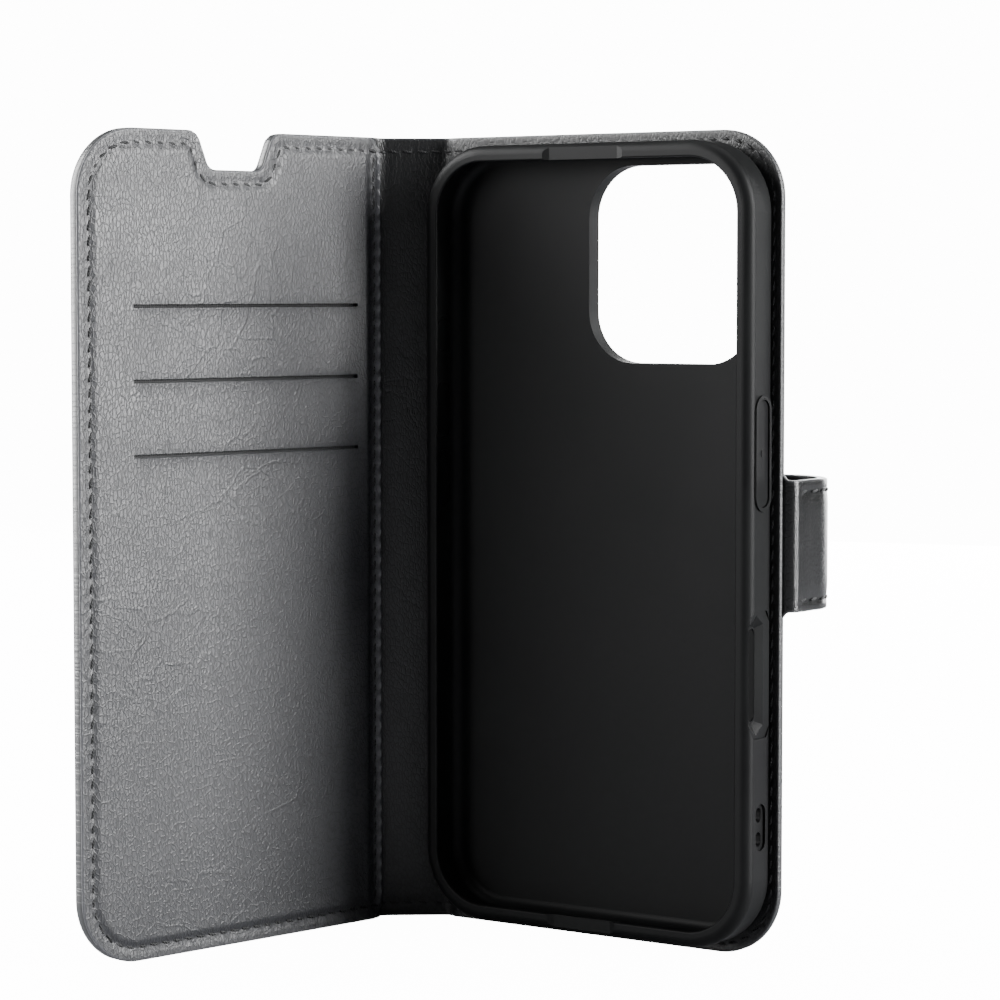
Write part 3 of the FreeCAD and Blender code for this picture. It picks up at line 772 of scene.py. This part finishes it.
def backCorners(start):
    end = -(coverEdgeRight - spineFold[0])
    corner = covers["corner"]
    return [(start, 0, 0), (end, 0, corner), (end, coverHeight, corner), (start, coverHeight, 0)]


coverEdgeRight = boxMm("back_lining")[1][0]


def stitchDip(distance, along, inset, depth):  # a groove along the seam, deepest at the needle holes
    beat = 0.7 + 0.3 * np.cos(2 * np.pi * along / threadSize["pitch"])
    return depth * beat * np.exp(-((distance - inset) / 0.5) ** 2)


# the way the padded panel's swell is spread comes from a small cloth simulation, its height from panel

puff = {"step": 2.0, "scale": 10.0, "pressure": 6.0, "frames": 20}


# Returns a function that gives 0 to 1 over the pattern.
def simulatePuff(pattern, pinned):
    low = pattern.outline.min(0)
    high = pattern.outline.max(0)
    counts = [round(s / puff["step"]) for s in high - low]
    bm = bmesh.new()
    grow = puff["scale"] * mm
    place = Matrix.Translation(((low[0] + high[0]) / 2 * grow, (low[1] + high[1]) / 2 * grow, 0))
    place = place @ Matrix.Diagonal(((high[0] - low[0]) * grow, (high[1] - low[1]) * grow, 1, 1))
    bmesh.ops.create_grid(bm, x_segments=counts[0], y_segments=counts[1], size=0.5, matrix=place)
    flat = vertexPoints(bm) / grow
    distance = pattern.measure(flat)[0]
    piece = finishMesh("puffedCloth", bm, panelLeather)
    group = piece.vertex_groups.new(name="sewnDown")
    group.add([int(i) for i in np.flatnonzero(distance < pinned + 0.6)], 1.0, "REPLACE")
    cloth = piece.modifiers.new("leatherPuff", "CLOTH")
    cloth.settings.vertex_group_mass = "sewnDown"
    cloth.settings.quality = 6
    cloth.settings.use_pressure = True
    cloth.settings.uniform_pressure_force = puff["pressure"]
    cloth.settings.tension_stiffness = 40
    cloth.settings.bending_stiffness = 4
    cloth.settings.effector_weights.gravity = 0
    cloth.collision_settings.use_collision = False
    cloth.point_cache.frame_end = puff["frames"]
    for number in range(1, puff["frames"] + 1):
        bpy.context.scene.frame_set(number)
    shaped = piece.evaluated_get(bpy.context.evaluated_depsgraph_get()).to_mesh()
    rise = np.zeros(len(shaped.vertices) * 3)
    shaped.vertices.foreach_get("co", rise)
    rise = np.abs(rise.reshape(-1, 3)[:, 2])
    bpy.data.objects.remove(piece)
    bpy.context.scene.frame_set(1)
    across, up = counts[0] + 1, counts[1] + 1
    order = np.lexsort((flat[:, 0], flat[:, 1]))
    field = rise[order].reshape(up, across) / max(rise.max(), 1e-9)
    print("stage: cloth puffed, raw rise %.4f" % rise.max())

    def sample(points):
        x = np.clip((points[:, 0] - low[0]) / (high[0] - low[0]) * (across - 1), 0, across - 1.001)
        z = np.clip((points[:, 1] - low[1]) / (high[1] - low[1]) * (up - 1), 0, up - 1.001)
        i, j = x.astype(int), z.astype(int)
        a, b = x - i, z - j
        bottom = field[j, i] * (1 - a) + field[j, i + 1] * a
        top = field[j + 1, i] * (1 - a) + field[j + 1, i + 1] * a
        return bottom * (1 - b) + top * b
    return sample


# card panel with its slits and hem

panel = {
    "border": 2.12,  # height of the border outside the stitches
    "shoulder": 0.27,  # the padding's edge just inside the stitches
    "rise": 0.25,  # how much further the middle stands
    "step": 0.62,
    "edgeRound": 0.35,
    "hemStitch": 1.6,
    "lipHeight": 0.6,
    "lipWidth": 0.8,
    "lipCentre": 0.55,
    "seamDepth": 0.34,
    "ringDepth": 0.4,
    "wave": 0.05,
    "slitOpening": 0.7,
    "slitLip": 0.22,
    "slitSink": 0.10,
}


def cardSlits():  # each slit as (low x, high x, low z, high z), from the pockets behind the panel
    slits = []
    for index in (1, 2, 3):
        low, high, _, _, _, top = alongFront("card_pocket_%d" % index)
        z = top + panel["slitOpening"]
        half = panel["slitOpening"] / 2
        slits.append((spineLength + low + 1.5, spineLength + high - 1.5, z - half, z + half))
    return slits


slits = cardSlits()
panelPattern = Pattern(frontCorners(panelFold), closed=True)
frontPattern = Pattern(frontCorners(halfSpine))
puffHeight = simulatePuff(panelPattern, 3.2)


def hemLip(flat):  # 0 to 1 over the hem's rounded lip, pinched and a little crooked at each stitch
    beat = 2 * np.pi * flat[:, 1] / threadSize["pitch"]
    crooked = 0.07 * np.cos(beat) + 0.05 * np.sin(flat[:, 1] / 1.7) + 0.04 * np.sin(flat[:, 1] / 0.63)
    run = flat[:, 0] - panelFold - panel["lipCentre"] - crooked
    inward = np.minimum(flat[:, 1], coverHeight - flat[:, 1]) - covers["stitchInset"]
    ripple = 0.7 + 0.3 * np.cos(beat)
    return ripple * smooth(inward / 1.5) * np.exp(-(run / (panel["lipWidth"] / 2)) ** 2)


def hemShape(flat):  # the folded hem beside the fold: its lip, its seam, and a soft step behind it
    run = flat[:, 0] - panelFold
    seam = panel["seamDepth"] * np.exp(-((run - panel["hemStitch"]) / 0.45) ** 2)
    return panel["lipHeight"] * hemLip(flat) - seam


def slitShape(flat):  # lips that stand up a little along each slit, the lower one more
    lift = np.zeros(len(flat))
    for low, high, bottom, top in slits:
        inside = smooth((flat[:, 0] - low + 0.8) / 2.5) * smooth((high + 0.8 - flat[:, 0]) / 2.5)
        below = bottom - flat[:, 1]
        above = flat[:, 1] - top
        rise = panel["slitLip"] * np.exp(-np.clip(below, 0, None) / 1.6)
        sink = panel["slitSink"] * np.exp(-np.clip(above, 0, None) / 1.2)
        lift += (np.where(below >= -0.01, rise, 0) - np.where(above >= -0.01, sink, 0)) * inside
    return lift


def panelTopHeight(flat, distance, along):
    run = flat[:, 0] - panelFold
    middle = smooth((run - 2) / 4) * puffHeight(flat)
    shoulder = smooth((distance - covers["stitchInset"] - 0.1) / 1.15) * smooth((run - 2.0) / 1.3)
    wave = panel["wave"] * np.sin(flat[:, 1] / 9.0)
    swell = panel["shoulder"] * shoulder + (panel["rise"] + wave) * middle
    height = panel["border"] + swell + hemShape(flat) + slitShape(flat)
    ring = np.where(run > 1.2, stitchDip(distance, along, covers["stitchInset"], panel["ringDepth"]), 0)
    return height - ring - edgeRound(distance, panel["edgeRound"])


def panelUnderHeight(flat, distance, along):
    run = flat[:, 0] - panelFold
    hem = 0.3 * (1 - smooth((run - 4.2) / 0.6)) * (distance > covers["turnedEdge"] + 0.3)
    return covers["frontRim"] - hem + edgeRound(distance, 0.15)


# hemLip shapes the hem's lip and also gives it a painted highlight
cardPanel = slab("cardPanel", panelPattern, panel["step"], coverPath, panelTopHeight, panelUnderHeight,
                 panelLeather, slits, hemLip)
rideOn(cardPanel, "front_cover", "panel_leather", "card_panel", "panel_hem")
print("stage: card panel cut and hemmed")

# outer leather, in two pieces that meet in the middle of the spine

outer = {
    "step": 0.8,
    "edgeRound": 0.42,
    "border": 0.38,
    "rise": 0.24,
    "backRise": 0.07,
    "seamDip": 0.22,
    "windowGap": 0.3,
    "windowCorner": 11.1,
}


def turnedShare(distance):  # 1 on the turned-in edge, 0 further in
    return 1 - smooth((distance - covers["turnedEdge"] + 0.8) / 0.8)


def frontOuterHeight(flat, distance, along):  # the outer face lies on the -h side
    pad = smooth((distance - covers["stitchInset"]) / 4.5) * smooth((flat[:, 0] - spineLength - 3) / 6)
    height = outer["border"] + outer["rise"] * pad
    height = height - stitchDip(distance, along, covers["stitchInset"], outer["seamDip"])
    return -(height - edgeRound(distance, outer["edgeRound"]))


def frontTurnedHeight(flat, distance, along):  # the inner face, with the edge turned in under the panel
    share = turnedShare(distance) * smooth((flat[:, 0] - panelFold + 0.5) / 0.8)
    height = covers["skin"] + (covers["frontRim"] - covers["skin"]) * share
    return height - 0.02 - edgeRound(distance, 0.2)


frontOuter = slab("frontOuterLeather", frontPattern, outer["step"], coverPath, frontTurnedHeight,
                  frontOuterHeight, outerLeather)
bendAtFront(frontOuter, "outer_leather", "front_leather")


def windowCorners():  # round the camera rim, with the leather's own gap
    rim = np.array([v.co[:] for v in nodes["tray_shell"].data.vertices]) / mm
    rim = rim[rim[:, 1] > trayHigh[1] - 0.05]
    low, high = rim.min(0), rim.max(0)
    gap = outer["windowGap"]
    start = -(high[0] + gap - spineFold[0])
    end = -(low[0] - gap - spineFold[0])
    corner = outer["windowCorner"] + gap
    return [(start, low[2] - gap, corner), (end, low[2] - gap, corner), (end, high[2] + gap, corner),
            (start, high[2] + gap, corner)]


backPattern = Pattern(backCorners(halfSpine), windows=[windowCorners()])


def backInset(flat):  # the seam runs nearer the edge on the back than on the spine
    change = covers["backStitchInset"] - covers["stitchInset"]
    return covers["stitchInset"] + change * smooth(-flat[:, 0] / 12)


def backOuterHeight(flat, distance, along):
    height = outer["border"] + outer["backRise"] * smooth((distance - 3) / 3)
    height = height - stitchDip(distance, along, backInset(flat), outer["seamDip"])
    return -(height - edgeRound(distance, outer["edgeRound"]))


def backStep(flat):  # 0 on the spine, 1 on the back
    return smooth((-flat[:, 0] - 0.6) / 1.6)


def backLift(share):  # the height of the leather's inner face, from the spine's to the back's
    return covers["skin"] + (covers["backRim"] - covers["skin"]) * share


def backTurnedHeight(flat, distance, along):
    return backLift(turnedShare(distance) * backStep(flat)) - 0.02 - edgeRound(distance, 0.2)


backOuter = slab("backOuterLeather", backPattern, outer["step"], coverPath, backTurnedHeight,
                 backOuterHeight, outerLeather)
bendAtSpine(backOuter, "outer_leather", "back_leather", "spine_leather")
print("stage: outer leather sewn up")

# lining of the back and the spine

liningEnd = panelFold + 1.4
spinePattern = Pattern([(halfSpine, 0, 0), (liningEnd, 0, 0), (liningEnd, coverHeight, 0),
                        (halfSpine, coverHeight, 0)])


def backLiningTop(flat, distance, along):
    height = backLift(backStep(flat)) + covers["liningPly"]
    height = height - stitchDip(distance, along, backInset(flat), covers["liningDip"])
    return height - edgeRound(distance, 0.25)


def backLiningUnder(flat, distance, along):
    return backLift(backStep(flat)) + 0.01


backLining = slab("backLining", backPattern, 0.9, coverPath, backLiningTop, backLiningUnder, liningLeather)
bendAtSpine(backLining, "lining_leather", "back_lining")


def spineLiningTop(flat, distance, along):
    side = np.minimum(flat[:, 1], coverHeight - flat[:, 1])
    dip = covers["liningDip"] * np.exp(-((side - covers["stitchInset"]) / 0.5) ** 2)
    return covers["skin"] + covers["liningPly"] - dip - edgeRound(side, 0.25)


spineLining = slab("spineLining", spinePattern, 0.7, coverPath, spineLiningTop,
                   level(covers["skin"] + 0.01), liningLeather)
bendAtFront(spineLining, "lining_leather", "spine_lining")
print("stage: linings laid")

# the plies and pockets inside the front cover


def innerRectangle(nodeName, radius):
    low, high, _, _, bottom, top = alongFront(nodeName)
    low, high = low + spineLength, high + spineLength
    corners = [(low, bottom, radius), (high, bottom, radius), (high, top, radius), (low, top, radius)]
    return Pattern(corners, closed=True)


def insidePly(name, nodeName, pattern, step, material, slotName):
    _, _, low, high, _, _ = alongFront(nodeName)
    piece = slab(name, pattern, step, coverPath, level(high - 0.01), level(low + 0.01), material)
    rideOn(piece, "front_cover", slotName, nodeName)


for pocketNumber in (1, 2, 3):
    insidePly("cardPocket%d" % pocketNumber, "card_pocket_%d" % pocketNumber,
              innerRectangle("card_pocket_%d" % pocketNumber, 0.8), 2.5, pocketCloth, "pocket_cloth")
plyPattern = Pattern(frontCorners(panelFold + 4.4, 4.4), closed=True)
insidePly("billPocketLining", "bill_pocket_lining", plyPattern, 2.5, pocketCloth, "pocket_cloth")
insidePly("frontFoam", "front_foam", plyPattern, 2.5, closedFoam, "foam")
print("stage: pockets and padding placed")

# seams of the covers


def lineHeight(pattern, heightOf):
    def surface(place):
        distance, along, _ = pattern.measure(place)
        return heightOf(place, np.maximum(distance, 0), along)
    return surface


def splitRow(line):  # a row is split where it jumps across a fold
    jump = np.flatnonzero(np.linalg.norm(np.diff(line, axis=0), axis=1) > 3.0)
    return [part for part in np.split(line, jump + 1) if len(part) > 4]


def sewnRows(pattern, inset, low, high):  # the rows of a seam between two places along the path
    line = insetLine(pattern, inset)
    return splitRow(line[(line[:, 0] > low) & (line[:, 0] < high)])


panelRing = sewnRows(frontPattern, covers["stitchInset"], panelFold + 0.3, freeEdge)
spineRing = sewnRows(frontPattern, covers["stitchInset"], halfSpine, panelFold)
panelTop = lineHeight(panelPattern, panelTopHeight)
frontInnerStitching = sewStitches("panelStitching", panelRing, coverPath, panelTop, 1)
rideOn(frontInnerStitching, "front_cover", "thread", "front_stitching")
frontSpineStitching = sewStitches("spineFrontStitching", spineRing, coverPath,
                                  lineHeight(spinePattern, spineLiningTop), 1)
bendAtFront(frontSpineStitching, "thread", "spine_stitching")
outerRing = sewnRows(frontPattern, covers["stitchInset"], halfSpine, freeEdge)
frontOuterStitching = sewStitches("frontOuterStitching", outerRing, coverPath,
                                  lineHeight(frontPattern, frontOuterHeight), -1)
bendAtFront(frontOuterStitching, "thread")
backRing = splitRow(insetLine(backPattern, backInset))
backInnerStitching = sewStitches("backInnerStitching", backRing, coverPath,
                                 lineHeight(backPattern, backLiningTop), 1)
bendAtSpine(backInnerStitching, "thread", "back_stitching")
backOuterStitching = sewStitches("backOuterStitching", backRing, coverPath,
                                 lineHeight(backPattern, backOuterHeight), -1)
bendAtSpine(backOuterStitching, "thread")
hemX = panelFold + panel["hemStitch"]
hemLine = np.stack([np.full(400, hemX), np.linspace(3.6, coverHeight - 3.6, 400)], 1)
hemStitching = sewStitches("hemStitching", [hemLine], coverPath, panelTop, 1)
rideOn(hemStitching, "front_cover", "thread", "hem_stitching")
print("stage: cover seams stitched")

# closing strap, in two pieces that meet in the middle of its side run

strap = {
    "rootRadius": 1.9,
    "bendRadius": 9.3,
    "width": 25.0,
    "tipLength": 38.0,
    "tipCorner": 8.0,
    "rootInside": 4.0,
    "rootFillet": 1.6,
    "lining": 1.0,
    "tipLining": 1.8,
    "stitchInset": 2.2,
    "step": 0.7,
    "blendReach": 1.6,
    "bendReach": 5.6,
    "ply": 0.45,  # the leather's two faces lie this far from the middle of its thickness
    "liningFace": -0.47,
    "sideGrowth": 12.0,
    "outerDip": 0.16,
    "liningDip": 0.22,
    "pad": 0.12,
}
sideLength = float(np.linalg.norm(strapBend - strapRoot))
strapMiddle = sideLength / 2
strapEnd = sideLength + strap["tipLength"]
strapPath = FoldedPath(strapRoot, 0, [(0, 90, strap["rootRadius"]), (sideLength, 90, strap["bendRadius"])])
strapLow = coverHeight / 2 - strap["width"] / 2
strapHigh = coverHeight / 2 + strap["width"] / 2
strapEdge = coverEdgeRight - strapRoot[0]


def straightStrap(start):
    return Pattern([(strapMiddle, strapHigh, 0), (start, strapHigh, 0), (start, strapLow, 0),
                    (strapMiddle, strapLow, 0)])


def strapRootPattern(start):
    fillet = strap["rootFillet"]
    if start > 0:
        return straightStrap(start)
    wideHigh, wideLow = strapHigh + fillet + 0.5, strapLow - fillet - 0.5
    return Pattern([(strapMiddle, strapHigh, 0), (strapEdge, strapHigh, fillet), (strapEdge, wideHigh, 0),
                    (start, wideHigh, 0), (start, wideLow, 0), (strapEdge, wideLow, 0),
                    (strapEdge, strapLow, fillet), (strapMiddle, strapLow, 0)])


def strapTipPattern():
    corner = strap["tipCorner"]
    return Pattern([(strapMiddle, strapLow, 0), (strapEnd, strapLow, corner), (strapEnd, strapHigh, corner),
                    (strapMiddle, strapHigh, 0)])


def strapSide(flat):
    return np.minimum(flat[:, 1] - strapLow, strapHigh - flat[:, 1])


def strapOuterHeight(flat, distance, along):
    tucked = 0.08 * (1 - smooth((flat[:, 0] - strapEdge + 0.3) / 0.6))
    dip = stitchDip(distance, along, strap["stitchInset"], strap["outerDip"])
    dip = dip * smooth((flat[:, 0] - strapEdge - 1.0) / 1.5)
    return strap["ply"] - tucked - dip - edgeRound(distance, 0.3)


def strapOuterUnder(flat, distance, along):
    return -strap["ply"] + edgeRound(distance, 0.2)


# The face that shows beside the case. It grows slowly out of the root's bend
def strapLiningUnder(flat, distance, along):
    side = smooth((flat[:, 0] - 1.5) / strap["sideGrowth"]) * strap["lining"]
    tip = smooth((flat[:, 0] - sideLength - 4.5) / 4.0) * (strap["tipLining"] - strap["lining"])
    edge = np.maximum(np.where(flat[:, 0] < strapMiddle, strapSide(flat), distance), 0)
    dip = stitchDip(edge, flat[:, 0], strap["stitchInset"], strap["liningDip"])
    dip = dip * smooth((flat[:, 0] - 1.0) / 2)
    pad = strap["pad"] * smooth((edge - strap["stitchInset"]) / 3) * smooth((flat[:, 0] - 1) / 5)
    return strap["liningFace"] - side - tip - pad + dip + edgeRound(edge, 0.42) * smooth(flat[:, 0] / 3)


rootPattern = strapRootPattern(strapEdge - strap["rootInside"])
rootLiningPattern = strapRootPattern(0.9)
tipPattern = strapTipPattern()
strapRootLeather = slab("strapRootLeather", rootPattern, strap["step"], strapPath, strapOuterHeight,
                        strapOuterUnder, strapLeather)
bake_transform(strapRootLeather)
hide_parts("strap_side_leather")
strapRootLining = slab("strapRootLining", rootLiningPattern, strap["step"], strapPath,
                       level(strap["liningFace"]), strapLiningUnder, strapLeather)
rideOn(strapRootLining, "strap_side", "lining_leather",
       "strap_side_lining", "strap_side_filler", "strap_side_edging")
strapTipLeather = slab("strapTipLeather", tipPattern, strap["step"], strapPath, strapOuterHeight,
                       strapOuterUnder, strapLeather)
strapTipLining = slab("strapTipLining", tipPattern, strap["step"], strapPath, level(strap["liningFace"]),
                      strapLiningUnder, strapLeather)
tipPieces = (
    (strapTipLeather, "outer_leather", ("strap_tip_leather",)),
    (strapTipLining, "lining_leather", ("strap_tip_lining", "strap_tip_core")),
)
for piece, slotName, replaced in tipPieces:
    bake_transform(piece)
    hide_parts(*replaced)


def sewStrap(name, rows, pattern, heightOf, outside, replaced):
    piece = sewStitches(name, rows, strapPath, lineHeight(pattern, heightOf), outside)
    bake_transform(piece)
    if replaced:
        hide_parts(replaced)


rootRows = sewnRows(straightStrap(-3), strap["stitchInset"], 1.6, strapMiddle)
sewStrap("strapRootOuterStitching", rootRows, rootPattern, strapOuterHeight, 1,
         "strap_side_stitching")
sewStrap("strapRootInnerStitching", rootRows, rootLiningPattern, strapLiningUnder, -1,
         None)
tipRows = sewnRows(tipPattern, strap["stitchInset"], strapMiddle, strapEnd)
sewStrap("strapTipOuterStitching", tipRows, tipPattern, strapOuterHeight, 1,
         "strap_tip_stitching")
sewStrap("strapTipInnerStitching", tipRows, tipPattern, strapLiningUnder, -1, None)
print("stage: strap made")

# moulded and hard pieces keep their own meshes and get their finishes

finishes = {
    "tray_shell": satinTpu,
    "power_button_cover": buttonTpu,
    "action_button_cover": buttonTpu,
    "volume_up_cover": buttonTpu,
    "volume_down_cover": buttonTpu,
    "tray_adhesive": adhesiveFilm,
    "back_board": pressedBoard,
    "front_board": pressedBoard,
    "closure_plate": nickelSteel,
    "strap_magnets": nickelSteel,
}
for nodeName, finish in finishes.items():
    nodes[nodeName].data.materials.clear()
    nodes[nodeName].data.materials.append(finish)
print("stage: moulded pieces finished")

# studio

studio = {  # metres and watts
    "floorSize": 60.0,
    "fillWorld": 0.06,
    "seenWorld": 14.0,  # the world and the floor look this bright, and give almost no light to the case
    "floorSeen": 14.0,
    "right": {"offset": (0.84, 0.22, 0.22), "size": (0.3, 0.8), "power": 32.0},
    "left": {"offset": (-0.86, -0.38, 0.3), "size": (0.5, 1.1), "power": 40.0},
    "front": {"offset": (-0.55, -0.85, 0.1), "size": (0.8, 0.8), "power": 15.0},
    "behind": {"offset": (-0.23, 0.95, 0.12), "size": (1.19, 0.6), "power": 22.0},
    "top": {"offset": (0.1, 0.1, 1.3), "size": (1.0, 1.0), "power": 8.0},
}


def makeFloor():
    bm = bmesh.new()
    bmesh.ops.create_grid(bm, x_segments=2, y_segments=2, size=studio["floorSize"] / 2)
    material, tree, shader = newMaterial("paleMattFloor")
    place = addNode(tree, "TexCoord", {}, "Object")
    cloud = addNode(tree, "TexNoise", {"Vector": place, "Scale": 3.0, "Detail": 2.0})
    shades = {0: cloud, 6: hexColour("84858A"), 7: hexColour("8E8E92")}
    tint = addNode(tree, "Mix", shades, 2, data_type="RGBA")
    tree.links.new(tint, shader.inputs["Base Color"])
    shader.inputs["Roughness"].default_value = 0.9
    shader.inputs["Emission Color"].default_value = (1, 1, 1, 1)
    seen = addNode(tree, "LightPath", {}, "Is Camera Ray")
    glow = addNode(tree, "Math", [seen, studio["floorSeen"]], operation="MULTIPLY")
    tree.links.new(glow, shader.inputs["Emission Strength"])
    floor = finishMesh("studioFloor", bm, material)


def makeLight(name, offset, size, power):
    data = bpy.data.lights.new(name, "AREA")
    data.shape = "RECTANGLE"
    data.size, data.size_y = size
    data.energy = power
    light = bpy.data.objects.new(name, data)
    light.location = trayMiddle + Vector(offset)
    light.rotation_euler = (trayMiddle - light.location).to_track_quat("-Z", "Y").to_euler()
    light.visible_camera = False
    bpy.context.scene.collection.objects.link(light)


makeFloor()
for lightName in ("right", "left", "front", "behind", "top"):
    makeLight(lightName + "Softbox", **studio[lightName])
world = bpy.data.worlds.new("paleStudio")
world.use_nodes = True
sky = world.node_tree.nodes["Background"]
sky.inputs["Color"].default_value = (1, 1, 1, 1)
seen = addNode(world.node_tree, "LightPath", {}, "Is Camera Ray")
strength = addNode(world.node_tree, "MapRange", [seen, 0.0, 1.0, studio["fillWorld"], studio["seenWorld"]])
world.node_tree.links.new(strength, sky.inputs["Strength"])
bpy.context.scene.world = world
print("stage: studio lit")
